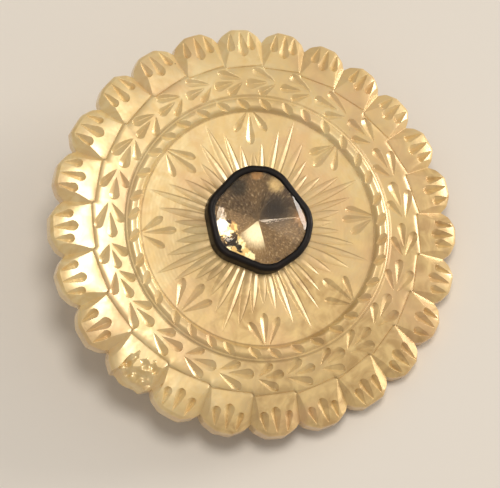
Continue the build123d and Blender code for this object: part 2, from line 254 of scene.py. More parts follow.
class ButtonSizes(bpy.types.PropertyGroup):
    """Sizes of the carved disc and of its setting."""

    diameter: size_property("Diameter", "Across the tips of the lobes", 35)
    notch_depth: size_property("Notch depth", "How far the notches between lobes reach in", 1.1)
    drop_depth: size_property("Drop depth", "Depth of the drops on the lobes", 0.32)
    leaf_depth: size_property("Leaf depth", "Depth of the leaves", 0.25)
    petal_depth: size_property("Petal depth", "Depth of the fleur petals", 0.2)
    ray_depth: size_property("Ray depth", "Depth of the rays", 0.14)
    rope_depth: size_property("Rope depth", "Depth of the cuts across the rope", 0.28)
    setting_radius: size_property("Setting radius", "From the setting's middle to its sharp corners", 4.8)


class ButtonColours(bpy.types.PropertyGroup):
    """Colours of the button's materials."""

    nacre: colour_property("Nacre", "Body of the pearl shell", "#E3C384")
    nacre_pale: colour_property("Pale nacre", "Paler layers of the shell", "#F1D8A0")
    nacre_deep: colour_property("Deep nacre", "Darker layers of the shell", "#C4A066")
    nacre_rose: colour_property("Rose nacre", "Rosy tint of the shell's layers", "#DDB382")
    # Also the colour of the painted shade in the turned grooves
    dirt_and_groove_shade: colour_property("Grime", "Old dirt in the grooves and pits", "#6B4E2C")
    metal: colour_property("Setting", "Blackened metal of the setting", "#110B08")
    metal_worn: colour_property("Worn setting", "Where the blackening is rubbed", "#3C2A20")
    foil: colour_property("Foil", "Foil behind the stone", "#8E7450")
    foil_dark: colour_property("Tarnish", "Tarnished foil", "#34261A")
    # Colour of the painted highlights and of the lamp's painted reflection on the foil
    foil_highlight: colour_property("Flaked foil", "Bright and flaked foil", "#FFF4D4")
    brass: colour_property("Brass", "Rivet, washer and eye", "#9A7B45")
    brass_dark: colour_property("Brass patina", "Brown patina on the brass", "#4A3820")
    floor: colour_property("Floor", "Floor of the studio", "#E9E3DA")


def lobe_at(turn):
    """Lobe that holds a turn, and the place across it, from -1 at one valley to 1 at the next."""
    past = (turn - LOW_SIDE) % 360.0
    for count, (start, width) in enumerate(LOBES):
        if past <= start - LOW_SIDE + width:
            return count, 2 * (past - (start - LOW_SIDE)) / width - 1
    return len(LOBES) - 1, 1.0


def rim_table(sizes):
    """Outline of each lobe as filed flats: place across the lobe and radius, a little different on each."""
    tip = sizes.diameter / MM / 2 - TIP_WEAR
    notch = tip - sizes.notch_depth / MM
    draw = random.Random(RIM_SEED)
    rows = []
    for _ in LOBES:
        left, right = draw.uniform(*TIP_FLAT), draw.uniform(*TIP_FLAT)
        lean = draw.uniform(-TIP_LEAN, TIP_LEAN)
        shoulder = draw.uniform(*SHOULDER_DROP)
        rows.append((
            (-1.0, notch), (-SHOULDER_PLACE, tip - shoulder), (-left, tip - TIP_DROP + lean),
            (right, tip - TIP_DROP - lean), (SHOULDER_PLACE, tip - shoulder), (1.0, notch),
        ))
    return rows


def step_shift(radius, across):
    """How far a ring of the face is moved out by the straight strokes of the step."""
    fade = (radius - STEP_FADE_START) / (STEP_FADE_END - STEP_FADE_START)
    return (STEP_OUT - STEP_SKEW * across - STEP_SAG * (1 - across ** 2)) * max(0.0, min(1.0, fade))


def face_height(radius, count, across, rim):
    """Height of the face before its cuts."""
    inner = STEP_RADIUS + step_shift(STEP_RADIUS, across)
    if radius <= inner:
        return along(RISING_FACE, radius - step_shift(radius, across))
    share = (radius - inner) / (along(rim[count], across) - EDGE_ROUND - inner)
    return along(CREST, share) - along(SIDE_FALL, share) * across ** 2


def on_face(radius, turn, rim):
    count, across = lobe_at(turn)
    return polar(radius, turn, face_height(radius, count, across, rim))


def grown_ring(bm, edges, column, where):
    """Ring drawn out from a ring of edges; where gives the new place of each column of vertices."""
    grown = bmesh.ops.extrude_edge_only(bm, edges=edges)["geom"]
    for part in grown:
        if isinstance(part, bmesh.types.BMVert):
            part.co = where(part[column])
    return [part for part in grown if isinstance(part, bmesh.types.BMEdge)]


def first_ring(places):
    """New bmesh with one closed ring of vertices, numbered in columns."""
    bm = bmesh.new()
    column = bm.verts.layers.int.new("column")
    verts = bmesh.ops.create_circle(bm, segments=len(places), radius=1.0)["verts"]
    for count, vert in enumerate(verts):
        vert[column] = count
        vert.co = places[count]
    return bm, bm.edges[:], column


def made_piece(name, bm, material):
    """Mesh object of a closed shape."""
    bmesh.ops.remove_doubles(bm, verts=bm.verts, dist=1e-5)
    bmesh.ops.recalc_face_normals(bm, faces=bm.faces)
    mesh = bpy.data.meshes.new(name)
    bm.to_mesh(mesh)
    bm.free()
    made = bpy.data.objects.new(name, mesh)
    bpy.context.scene.collection.objects.link(made)
    mesh.materials.append(material)
    return made


# Edges that turn by more than this, in degrees, stay crisp
DISC_CRISP, SETTING_CRISP, STONE_CRISP, FOIL_CRISP = 15, 40, 12, 14


def laid_down(piece, crisp, node):
    """Lays a piece down as the button lies, shades it, and puts it in the place of its solid."""
    piece.data.transform(REST)
    piece.data.shade_smooth()
    piece.data.set_sharp_from_angle(angle=math.radians(crisp))
    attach(piece, "root")
    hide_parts(node)


def disc_blank(rim):
    """Turned and lobed blank, drawn as rings from the back's hole out to the rim and in over the face."""
    columns = []
    for count, (start, width) in enumerate(LOBES):
        for step in range(LOBE_STEPS):
            share = step / LOBE_STEPS
            columns.append((count, 2 * share - 1, start + width * share))

    def edge_place(inwards, height=None, down=0.0):
        def where(place):
            count, across, turn = columns[place]
            outline = along(rim[count], across)
            if height is not None:
                return polar(outline - inwards, turn, height)
            edge = face_height(outline - EDGE_ROUND, count, across, rim)
            return polar(outline - inwards, turn, edge - down)
        return where

    def lobe_place(share):
        def where(place):
            count, across, turn = columns[place]
            inner = STEP_RADIUS + step_shift(STEP_RADIUS, across)
            radius = between(inner, along(rim[count], across) - EDGE_ROUND, share)
            return polar(radius, turn, face_height(radius, count, across, rim))
        return where

    def turned_place(radius, height):
        def where(place):
            _, across, turn = columns[place]
            return polar(radius + step_shift(radius, across), turn, height)
        return where

    bm, hole, column = first_ring([polar(HOLE_RADIUS, turn) for _, _, turn in columns])
    steps = [turned_place(BACK_RADIUS, 0.0), edge_place(BACK_ROUND, 0.0), edge_place(0.0, BACK_ROUND)]
    steps += [edge_place(inwards, down=down) for inwards, down in EDGE_STEPS]
    steps += [lobe_place(share) for share in LOBE_RINGS]
    steps += [turned_place(radius, height) for radius, height in FACE]
    edges = hole
    for step in steps:
        edges = grown_ring(bm, edges, column, step)
    bmesh.ops.bridge_loops(bm, edges=hole + edges)
    return bm


def chip(bm, start, tip, rings, facets):
    """Closed cutter from a start point to a tip: rings of (share of the way, half width, depth)."""
    way = tip - start
    ahead = way.normalized()
    side = Vector((0, 0, 1)).cross(ahead).normalized()
    up = ahead.cross(side)
    verts = bmesh.ops.create_uvsphere(bm, u_segments=facets, v_segments=len(rings) - 1, radius=1.0)["verts"]
    last = len(rings) - 1
    for vert in verts:
        place, half, depth = rings[round(math.acos(max(-1.0, min(1.0, vert.co.z))) / math.pi * last)]
        angle = math.atan2(vert.co.y, vert.co.x)
        across, rise = math.cos(angle), math.sin(angle)
        if vert.co.x ** 2 + vert.co.y ** 2 < 1e-9:
            across, rise = 0.0, 0.0
        tall = rise * CHIP_LIFT * min(1.0, half / THIN_CHIP) if rise > 0 else depth * rise
        vert.co = start + way * place + side * (across * half) + up * tall


def drop_rings(length, radius, depth, stretch):
    """Drop: round end, longer where it is stretched, then full sides and a floor that rises to the point."""
    rings = []
    for step in range(DROP_END_RINGS + 1):
        angle = math.pi / 2 * step / DROP_END_RINGS
        swell = math.sin(angle)
        place = -radius * stretch * math.cos(angle) / length
        rings.append((place, radius * swell, depth * swell ** DROP_END_POWER))
    for step in range(1, DROP_SIDE_RINGS + 1):
        share = step / DROP_SIDE_RINGS
        left = 1 - share
        rings.append((share, radius * left ** DROP_SIDE_POWER, depth * left ** DROP_FLOOR_POWER))
    return rings


def ray_rings(half, depth):
    """Ray: pointed arch, full for half of its length."""
    rings = [(0.0, 0.0, 0.0)]
    for step in range(1, RAY_RINGS + 1):
        share = step / RAY_RINGS
        swell = between(RAY_FOOT, 1.0, min(1.0, share / RAY_FULL)) * (1 - share ** RAY_LATE) ** RAY_BLUNT
        rings.append((share, half * swell, depth * swell))
    return rings


def lens_rings(half, depth):
    """Lens: pointed at both ends."""
    rings = []
    for step in range(ROPE_RINGS + 1):
        share = step / ROPE_RINGS
        swell = math.sin(math.pi * share) ** ROPE_SWELLING if 0 < step < ROPE_RINGS else 0.0
        rings.append((share, half * swell, depth * swell))
    return rings


def carve(disc, cuts):
    """Takes a bmesh of cutters out of the disc."""
    bmesh.ops.recalc_face_normals(cuts, faces=cuts.faces)
    mesh = bpy.data.meshes.new("cuts")
    cuts.to_mesh(mesh)
    cuts.free()
    tool = bpy.data.objects.new("cuts", mesh)
    bpy.context.scene.collection.objects.link(tool)
    cut = disc.modifiers.new("cut", "BOOLEAN")
    cut.operation = "DIFFERENCE"
    cut.solver = "MANIFOLD"
    cut.object = tool
    graph = bpy.context.evaluated_depsgraph_get()
    carved = bpy.data.meshes.new_from_object(disc.evaluated_get(graph))
    disc.modifiers.clear()
    old = disc.data
    before = len(old.vertices)
    disc.data = carved
    bpy.data.meshes.remove(old)
    bpy.data.objects.remove(tool)
    bpy.data.meshes.remove(mesh)
    if len(carved.vertices) == before:
        raise RuntimeError("a set of cuts left no mark on the disc")


def valley_cuts(lobes):
    """Grooves beside some of the lobes: sharp at the ring, wide and deep at the rim."""
    bm = bmesh.new()
    wide, narrow = ((VALLEY_OPEN - VALLEY_FLOOR) * math.tan(math.radians(angle)) for angle in VALLEY_ANGLES)
    for start, _ in lobes:
        open_end = polar(VALLEY_END, start, VALLEY_OPEN)
        corners = (
            polar(VALLEY_START, start, VALLEY_TOP), polar(VALLEY_END, start, VALLEY_FLOOR),
            open_end + polar(wide, start - 90), open_end + polar(narrow, start + 90),
        )
        bmesh.ops.convex_hull(bm, input=[bm.verts.new(corner) for corner in corners])
    return bm


def break_cut():
    """Block whose under side is the rough broken face of the damaged lobe."""
    bm = bmesh.new()
    bmesh.ops.create_grid(bm, x_segments=BROKEN_GRID[0], y_segments=BROKEN_GRID[1], size=1.0)
    for vert in bm.verts:
        out = between(*BROKEN_REACH, (vert.co.x + 1) / 2)
        across = vert.co.y * (BROKEN_HALF + BROKEN_SPARE)
        lumps = 0.0
        for size, pace, seed in BROKEN_LUMPS:
            lumps += size * noise.noise(Vector((out * pace, across * pace, seed)))
        step = out + BROKEN_WANDER * noise.noise(Vector((across * WANDER_PACE, WANDER_SEED, 0.0)))
        height = BROKEN_TOP - BROKEN_FALL * step - BROKEN_CURVE * max(0.0, step) ** 2
        height = height - BROKEN_DROP * max(0.0, step - BROKEN_EDGE) + lumps
        height += BROKEN_CLIMB * max(0.0, abs(across) - BROKEN_HALF + BROKEN_SIDE)
        vert.co = polar(BROKEN_RADIUS + out, BROKEN_TURN, height) + polar(across, BROKEN_TURN + 90)
    top = bmesh.ops.extrude_face_region(bm, geom=bm.faces[:])["geom"]
    for part in top:
        if isinstance(part, bmesh.types.BMVert):
            part.co.z = CLEAR_OF_DISC
    return bm


def drop_cuts(units, drop, inner, reach, depth, stretch, rim, draw):
    """One drop of every unit of a ring, each a little off its mark."""
    bm = bmesh.new()
    (end_out, end_turn), (tip_out, tip_turn), radius = drop
    for start, width in units:
        stray = [draw.gauss(0, 1) for _ in range(5)]
        end_radius = inner + reach * (end_out + END_STRAY * stray[0])
        tip_radius = inner + reach * (tip_out + TIP_STRAY * stray[2])
        end = on_face(end_radius, start + width * (end_turn + END_STRAY * stray[1]), rim)
        tip = on_face(tip_radius, start + width * (tip_turn + TIP_STRAY * stray[3]), rim)
        size = radius * (1 + SIZE_STRAY * stray[4])
        chip(bm, end, tip, drop_rings((tip - end).length, size, depth, stretch), V_FACETS)
    return bm


def ray_cuts(parity, depth, rim, draw):
    """Every other ray of the star."""
    bm = bmesh.new()
    for start, width in SECTORS:
        for count, tip_share in enumerate(RAY_TIPS):
            if count % 2 == parity:
                turn = start + width * (count + RAY_TURN_STRAY * draw.gauss(0, 1)) / len(RAY_TIPS)
                tip = FIELD_RADIUS * (tip_share + RAY_TIP_STRAY * draw.gauss(0, 1))
                rings = ray_rings(RAY_HALF * (1 + RAY_HALF_STRAY * draw.gauss(0, 1)), depth)
                chip(bm, on_face(RAY_START, turn, rim), on_face(tip, turn, rim), rings, ROUND_FACETS)
    return bm


def rope_cuts(depth, draw):
    """Slanting cuts across the rope."""
    bm = bmesh.new()
    for count in range(ROPE_CUTS):
        turn = 360.0 * (count + ROPE_STRAY * draw.gauss(0, 1)) / ROPE_CUTS
        heading = polar(ROPE_HALF_LENGTH, turn + ROPE_SLANT)
        middle = polar(ROPE_RADIUS, turn, ROPE_TOP)
        chip(bm, middle - heading, middle + heading, lens_rings(ROPE_HALF_WIDTH, depth), V_FACETS)
    return bm


class BUTTON_OT_disc(bpy.types.Operator):
    """Carves the mother-of-pearl disc"""

    bl_idname = "button.disc"
    bl_label = "Pearl disc"

    def execute(self, context):
        sizes = context.scene.button_sizes
        rim = rim_table(sizes)
        draw = random.Random(CUT_SEED)
        disc = made_piece("carved_disc", disc_blank(rim), nacre())
        for group in (LOBES[:-1:3], LOBES[1:-1:3], LOBES[2:-1:3], LOBES[-1:]):
            carve(disc, valley_cuts(group))
        whole = [(start, width) for start, width in LOBES if not start < BROKEN_TURN < start + width]
        middles = [(start + width / 2, width) for start, width in whole]
        depth = sizes.drop_depth / MM
        for drop in LOBE_DROPS:
            carve(disc, drop_cuts(middles, drop, LOBE_INNER, LOBE_REACH, depth, ROUND_END, rim, draw))
        carve(disc, break_cut())
        depth = sizes.leaf_depth / MM
        for drop in LEAF_DROPS:
            carve(disc, drop_cuts(LEAVES, drop, BAND_INNER, BAND_WIDTH, depth, ROUND_END, rim, draw))
        depth = sizes.petal_depth / MM
        for drop in PETALS:
            carve(disc, drop_cuts(SECTORS, drop, 0, FIELD_RADIUS, depth, LONG_END, rim, draw))
        for parity in (0, 1):
            carve(disc, ray_cuts(parity, sizes.ray_depth / MM, rim, draw))
        carve(disc, rope_cuts(sizes.rope_depth / MM, draw))
        laid_down(disc, DISC_CRISP, "pearl_disc")
        return {"FINISHED"}


def seven_sides(sizes):
    """Flat face with the setting's seven sides, and sharp corners."""
    bm = bmesh.new()
    verts = bmesh.ops.create_circle(bm, segments=len(SIDES), radius=1.0, cap_ends=True)["verts"]
    for vert, (turn, _) in zip(verts, SIDES):
        vert.co = SETTING + polar(sizes.setting_radius / MM, turn)
    return bm


def stone_corners(sizes):
    """Corners of the stone, in the order of the setting's sides."""
    bm = seven_sides(sizes)
    faces = bm.faces[:]
    bmesh.ops.inset_region(bm, faces=faces, thickness=STONE_INSET, use_even_offset=True, use_boundary=True)
    places = [vert.co.copy() for vert in faces[0].verts]
    bm.free()
    return [min(places, key=lambda place: (place - SETTING).angle(polar(1, turn))) for turn, _ in SIDES]


class BUTTON_OT_setting(bpy.types.Operator):
    """Raises the blackened setting with its turned-over lip"""

    bl_idname = "button.setting"
    bl_label = "Setting"

    def execute(self, context):
        bm = seven_sides(context.scene.button_sizes)
        bmesh.ops.bevel(
            bm, geom=bm.verts[:], offset=CORNER_CUT, offset_type="OFFSET", segments=CORNER_SEGMENTS,
            profile=0.5, affect="VERTICES", material=-1)
        long_edges = [edge for edge in bm.edges if edge.calc_length() > LONG_SIDE]
        bmesh.ops.subdivide_edges(bm, edges=long_edges, cuts=SIDE_CUTS)
        raised = bmesh.ops.extrude_face_region(bm, geom=bm.faces[:])["geom"]
        top = [part for part in raised if isinstance(part, bmesh.types.BMFace)]
        bmesh.ops.translate(bm, verts=top[0].verts[:], vec=(0, 0, WALL_HEIGHT))
        steps = [(*step, False) for step in LIP_STEPS] + [(*LIP_UNDER, True), (*BED_STEP, False)]
        for inset, rise, outwards in steps:
            bmesh.ops.inset_region(
                bm, faces=top, thickness=inset, depth=rise, use_even_offset=True, use_boundary=True,
                use_outset=outwards)
        centre = bmesh.ops.poke(bm, faces=top)["verts"][0]
        centre.co = SETTING + Vector((0, 0, BED_LEVEL))
        noise.seed_set(SWAY_SEED)
        for vert in bm.verts:
            height = vert.co.z - FIELD_HEIGHT
            if height > SWAY_FOOT and vert is not centre:
                sway = Vector()
                for pace, size in SWAYS:
                    sway += noise.noise_vector(vert.co * pace) * size
                sway.z = sway.z * SWAY_UPRIGHT - SWAY_SETTLED
                vert.co += sway * min(1.0, height)
        setting = made_piece("stone_setting", bm, blackened_metal())
        laid_down(setting, SETTING_CRISP, "stone_collet")
        return {"FINISHED"}


class BUTTON_OT_stone(bpy.types.Operator):
    """Cuts the paste stone: pointed back, thin girdle, star of crown facets and a flat table"""

    bl_idname = "button.stone"
    bl_label = "Paste stone"

    def execute(self, context):
        girdle = stone_corners(context.scene.button_sizes)
        bm = bmesh.new()
        up = Vector((0, 0, 1))
        places = [SETTING + up * FOIL_LEVEL]
        for one, two in zip(girdle, girdle[1:] + girdle[:1]):
            places += [one + up * GIRDLE_LEVEL, one + up * CROWN_LEVEL]
            places.append(SETTING.lerp((one + two) / 2, TABLE_SHARE) + up * TABLE_LEVEL)
        bmesh.ops.convex_hull(bm, input=[bm.verts.new(place) for place in places])
        bmesh.ops.dissolve_limit(bm, angle_limit=math.radians(ONE_FACET), verts=bm.verts, edges=bm.edges)
        bmesh.ops.bevel(
            bm, geom=bm.edges[:], offset=STONE_BEVEL, offset_type="OFFSET", segments=2, profile=0.5,
            affect="EDGES", material=-1)
        stone = made_piece("faceted_stone", bm, paste_glass())
        # Clear glass lets the lamps light the foil behind it
        stone.visible_shadow = False
        laid_down(stone, STONE_CRISP, "paste_stone")
        return {"FINISHED"}


# Brightness of the foil behind each side of the stone, in their order, from 1 to 0: painted reflection, each
# facet as light or dark as it mirrored its surroundings, and tarnish
FOIL_FACET_REFLECTIONS = (0.42, 0.18, 0.38, 0.92, 0.45, 0.34, 0.1)
# Steps to either side over which one tone runs into the next
TONE_BLUR = 4


class BUTTON_OT_foil(bpy.types.Operator):
    """Presses the wrinkled foil into the setting, behind the stone"""

    bl_idname = "button.foil"
    bl_label = "Foil"

    def execute(self, context):
        girdle = stone_corners(context.scene.button_sizes)
        columns = []
        for one, two in zip(girdle, girdle[1:] + girdle[:1]):
            columns += [one.lerp(two, step / FOIL_STEPS) for step in range(FOIL_STEPS)]
        up = Vector((0, 0, 1))

        def pressed(share):
            def where(place):
                wrinkle = noise.noise(Vector((place * WRINKLE_ROUND, share * WRINKLE_ALONG, WRINKLE_SEED)))
                level = between(FOIL_LEVEL, GIRDLE_LEVEL, share) - FOIL_GAP
                level += FOIL_WRINKLE * wrinkle * min(1.0, share * WRINKLE_GROWTH)
                return SETTING.lerp(columns[place], share) + up * level
            return where

        bm, edges, column = first_ring([place + up * (GIRDLE_LEVEL + FOIL_RIM) for place in columns])
        for share in FOIL_RINGS:
            edges = grown_ring(bm, edges, column, pressed(share))
        bmesh.ops.contextual_create(bm, geom=edges)
        # Painted reflection and tarnish of each facet, run into the next
        tone = bm.verts.layers.float.new("tone")
        column = bm.verts.layers.int["column"]
        for vert in bm.verts:
            near = [(vert[column] + step) % len(columns) for step in range(-TONE_BLUR, TONE_BLUR)]
            vert[tone] = sum(FOIL_FACET_REFLECTIONS[place // FOIL_STEPS] for place in near) / len(near)
        bmesh.ops.recalc_face_normals(bm, faces=bm.faces)
        bmesh.ops.solidify(bm, geom=bm.faces[:], thickness=FOIL_THICKNESS)
        foil = made_piece("pressed_foil", bm, tarnished_foil())
        laid_down(foil, FOIL_CRISP, "foil_backing")
        return {"FINISHED"}


def add(tree, kind, inputs=None, **settings):
    """New shader node with its settings and links; a node that is linked gives its first output in use."""
    made = tree.nodes.new("ShaderNode" + kind)
    for name, value in settings.items():
        setattr(made, name, value)
    link(tree, made, inputs or {})
    return made


def link(tree, made, inputs):
    """Links or sets a node's sockets."""
    for socket, value in inputs.items():
        if isinstance(value, bpy.types.Node):
            value = next(output for output in value.outputs if output.enabled)
        if isinstance(value, bpy.types.NodeSocket):
            tree.links.new(value, made.inputs[socket])
        else:
            made.inputs[socket].default_value = value


def new_material(name):
    material = bpy.data.materials.new(name)
    material.use_nodes = True
    tree = material.node_tree
    return material, tree, tree.nodes["Principled BSDF"]


def disc_place(tree):
    """Place on the flat disc in millimetres, with the disc's axis as Z."""
    where = add(tree, "TexCoord")
    return add(
        tree, "Mapping",
        {"Vector": where.outputs["Object"], "Location": REST.translation, "Rotation": (LEAN, 0, 0),
         "Scale": (MM, MM, MM)},
        vector_type="TEXTURE",
    )


# The field's edge and the level of its uncut face, over which the polish changes, mm
FIELD_EDGE, UNCUT_LEVELS = (9.84, 9.94), (2.46, 2.495)
# Rings of the face darkened in its turned grooves, by painted shade and old dirt: radius and width, mm
GROOVE_SHADE_RINGS = ((9.97, 0.07), (11.05, 0.05), (11.36, 0.08), (14.01, 0.07))
RING_SCALE = 20.0
# Cracks in the field: distance from the middle, turn and half length, mm and degrees
CRACKS = ((7.1, -108.0, 0.55), (5.6, -116.0, 0.5), (5.9, -121.0, 0.3), (5.65, -174.0, 0.3))
CRACK_HALF_WIDTH = 0.05
# Painted light: the shell is made paler towards one side and darker towards the other, as the light fell
# across it: turn of the paler side, and share per mm
LIT_SIDE_TURN, PAINTED_LIGHT_SLOPE = 100.0, 0.012


def nacre():
    """Polished mother-of-pearl: stacked plates of aragonite, creamy and a little translucent.

    The stack reflects like many faint mirrors, so part of the shine is broad and takes the shell's colour.
    The band, rope and lobes were polished over that. The field was left satin from the lathe, with fine
    turning lines.
    """
    colours = bpy.context.scene.button_colours
    material, tree, shader = new_material("polished_mother_of_pearl")
    place = disc_place(tree)
    height = add(tree, "SeparateXYZ", {"Vector": place}).outputs["Z"]
    level = add(tree, "VectorMath", {0: place, 1: (1, 1, 0)}, operation="MULTIPLY")
    radius = add(tree, "VectorMath", {0: level}, operation="LENGTH")
    inside = add(
        tree, "MapRange",
        {"Value": radius, "From Min": FIELD_EDGE[0], "From Max": FIELD_EDGE[1], "To Min": 1.0, "To Max": 0.0})
    uncut = add(tree, "MapRange", {"Value": height, "From Min": UNCUT_LEVELS[0], "From Max": UNCUT_LEVELS[1]})
    satin = add(tree, "Math", {0: inside, 1: uncut}, operation="MULTIPLY")

    # Clouds some 6 mm across, and wavering growth layers a millimetre or two wide
    clouds = add(tree, "TexNoise", {"Vector": place, "Scale": 0.16, "Detail": 3.0, "Roughness": 0.5})
    layers = add(tree, "TexNoise", {"Vector": place, "Scale": 0.55, "Detail": 4.0, "Distortion": 1.6})
    rosy = add(tree, "TexNoise", {"Vector": place, "Scale": 0.23, "Detail": 2.0, "Distortion": 0.6})
    # Painted light: the body is paler towards one side of the disc and darker towards the other
    painted_light = add(tree, "VectorMath", {0: place, 1: polar(PAINTED_LIGHT_SLOPE, LIT_SIDE_TURN)}, operation="DOT_PRODUCT")
    cloudy = add(tree, "Math", {0: clouds, 1: painted_light}, operation="ADD")
    cloudy = add(tree, "MapRange", {"Value": cloudy, "From Min": 0.34, "From Max": 0.66})
    layered = add(tree, "MapRange", {"Value": layers, "From Min": 0.35, "From Max": 0.65})
    body = add(
        tree, "Mix",
        {"Factor": cloudy, "A": (*colours.nacre_deep, 1), "B": (*colours.nacre_pale, 1)}, data_type="RGBA")
    body = add(tree, "Mix", {"Factor": layered, "A": body, "B": (*colours.nacre, 1)}, data_type="RGBA")
    blush = add(tree, "MapRange", {"Value": rosy, "From Min": 0.52, "From Max": 0.72, "To Max": 0.55})
    body = add(tree, "Mix", {"Factor": blush, "A": body, "B": (*colours.nacre_rose, 1)}, data_type="RGBA")

    # Painted shade and old dirt darken the turned grooves; old dirt lies in a few tiny pits and in short
    # cracks along the rays
    waver = add(tree, "TexNoise", {"Vector": place, "Scale": 2.2, "Detail": 3.0})
    waver = add(tree, "VectorMath", {0: waver.outputs["Color"], 1: (0.5, 0.5, 0.5)}, operation="SUBTRACT")
    waver = add(tree, "VectorMath", {0: waver, "Scale": 0.35}, operation="SCALE")
    wavering = add(tree, "VectorMath", {0: place, 1: waver}, operation="ADD")
    # Painted shade and old dirt in the turned grooves
    share = add(tree, "Math", {0: radius, 1: RING_SCALE}, operation="DIVIDE")
    rings = add(tree, "ValToRGB", {"Fac": share})
    ramp = rings.color_ramp
    ramp.elements[0].color = ramp.elements[1].color = (0, 0, 0, 1)
    for ring, width in GROOVE_SHADE_RINGS:
        for offset, shade in ((-width, 0.0), (0.0, 1.0), (width, 0.0)):
            ramp.elements.new((ring + offset) / RING_SCALE).color = (shade, shade, shade, 1)
    groove_shade_share = add(
        tree, "MapRange", {"Value": layers, "From Min": 0.3, "From Max": 0.7, "To Min": 0.1, "To Max": 0.55})
    dirt_and_shade = add(tree, "Math", {0: rings, 1: groove_shade_share}, operation="MULTIPLY")
    cells = add(tree, "TexVoronoi", {"Vector": place, "Scale": 0.5})
    near = add(
        tree, "MapRange", {"Value": cells, "From Min": 0.03, "From Max": 0.06, "To Min": 0.8, "To Max": 0.0})
    chosen = add(tree, "SeparateColor", {"Color": cells.outputs["Color"]}).outputs["Red"]
    chosen = add(tree, "Math", {0: chosen, 1: 0.86}, operation="GREATER_THAN")
    pits = add(tree, "Math", {0: near, 1: chosen}, operation="MULTIPLY")
    dirt_and_shade = add(tree, "Math", {0: dirt_and_shade, 1: pits}, operation="MAXIMUM")
    for reach, turn, half_length in CRACKS:
        crack = add(
            tree, "Mapping",
            {"Vector": wavering, "Location": polar(reach, turn, FIELD_HEIGHT),
             "Rotation": (0, 0, math.radians(turn)), "Scale": (half_length, CRACK_HALF_WIDTH, 1)},
            vector_type="TEXTURE")
        away = add(tree, "VectorMath", {0: crack}, operation="LENGTH")
        open_share = add(
            tree, "MapRange",
            {"Value": away, "From Min": 0.5, "From Max": 1.0, "To Min": 0.85, "To Max": 0.0})
        dirt_and_shade = add(tree, "Math", {0: dirt_and_shade, 1: open_share}, operation="MAXIMUM")
    body = add(tree, "Mix", {"Factor": dirt_and_shade, "A": body, "B": (*colours.dirt_and_groove_shade, 1)}, data_type="RGBA")

    gloss = add(tree, "MapRange", {"Value": satin, "To Min": 0.34, "To Max": 0.37})
    uneven = add(
        tree, "MapRange",
        {"Value": layers, "From Min": 0.3, "From Max": 0.7, "To Min": -0.04, "To Max": 0.05})
    gloss = add(tree, "Math", {0: gloss, 1: uneven}, operation="ADD")
    polish = add(tree, "MapRange", {"Value": satin, "To Min": 0.75, "To Max": 0.1})

    # Turning lines 0.3 mm apart on the field, over edges that polishing softened and faces it left uneven
    lines = add(
        tree, "TexWave", {"Vector": place, "Scale": 1.05, "Distortion": 0.5, "Detail": 1.0},
        wave_type="RINGS", rings_direction="Z")
    lathe = add(tree, "Math", {0: lines.outputs["Fac"], 1: satin}, operation="MULTIPLY")
    soft = add(tree, "Bevel", {"Radius": 0.05 * MM}, samples=4)
    hand = add(tree, "TexNoise", {"Vector": place, "Scale": 0.9, "Detail": 2.0})
    soft = add(tree, "Bump", {"Height": hand, "Strength": 0.5, "Distance": 0.06 * MM, "Normal": soft})
    relief = add(tree, "Bump", {"Height": lathe, "Strength": 0.12, "Distance": 0.012 * MM, "Normal": soft})
    link(tree, shader, {
        "Base Color": body, "Roughness": gloss, "Coat Weight": polish, "Normal": relief, "Metallic": 0.34,
        "IOR": 1.66, "Coat Roughness": 0.17, "Subsurface Weight": 0.12, "Subsurface Radius": (1.0, 0.7, 0.35),
        "Subsurface Scale": 0.6 * MM,
    })
    return material


# The lip's levels, between which the rubbed places come in, mm
LIP_LEVELS = (3.7, 4.0)


def blackened_metal():
    """Blackened copper alloy: chemically darkened, brown-black, rubbed glossy and paler on its lip."""
    colours = bpy.context.scene.button_colours
    material, tree, shader = new_material("blackened_copper_alloy")
    place = disc_place(tree)
    height = add(tree, "SeparateXYZ", {"Vector": place}).outputs["Z"]
    rubbed = add(tree, "TexNoise", {"Vector": place, "Scale": 1.1, "Detail": 5.0, "Roughness": 0.6})
    lip = add(tree, "MapRange", {"Value": height, "From Min": LIP_LEVELS[0], "From Max": LIP_LEVELS[1]})
    patch = add(tree, "MapRange", {"Value": rubbed, "From Min": 0.52, "From Max": 0.74, "To Max": 0.5})
    share = add(tree, "Math", {0: patch, 1: lip}, operation="MULTIPLY")
    tone = add(
        tree, "Mix",
        {"Factor": share, "A": (*colours.metal, 1), "B": (*colours.metal_worn, 1)}, data_type="RGBA")
    gloss = add(
        tree, "MapRange", {"Value": rubbed, "From Min": 0.3, "From Max": 0.7, "To Min": 0.55, "To Max": 0.4})
    # File marks and dents a few tenths of a millimetre across
    dents = add(tree, "TexNoise", {"Vector": place, "Scale": 3.0, "Detail": 3.0})
    relief = add(tree, "Bump", {"Height": dents, "Strength": 0.35, "Distance": 0.05 * MM})
    link(tree, shader, {
        "Base Color": tone, "Roughness": gloss, "Normal": relief, "Metallic": 0.15,
        "Specular IOR Level": 0.25,
    })
    return material


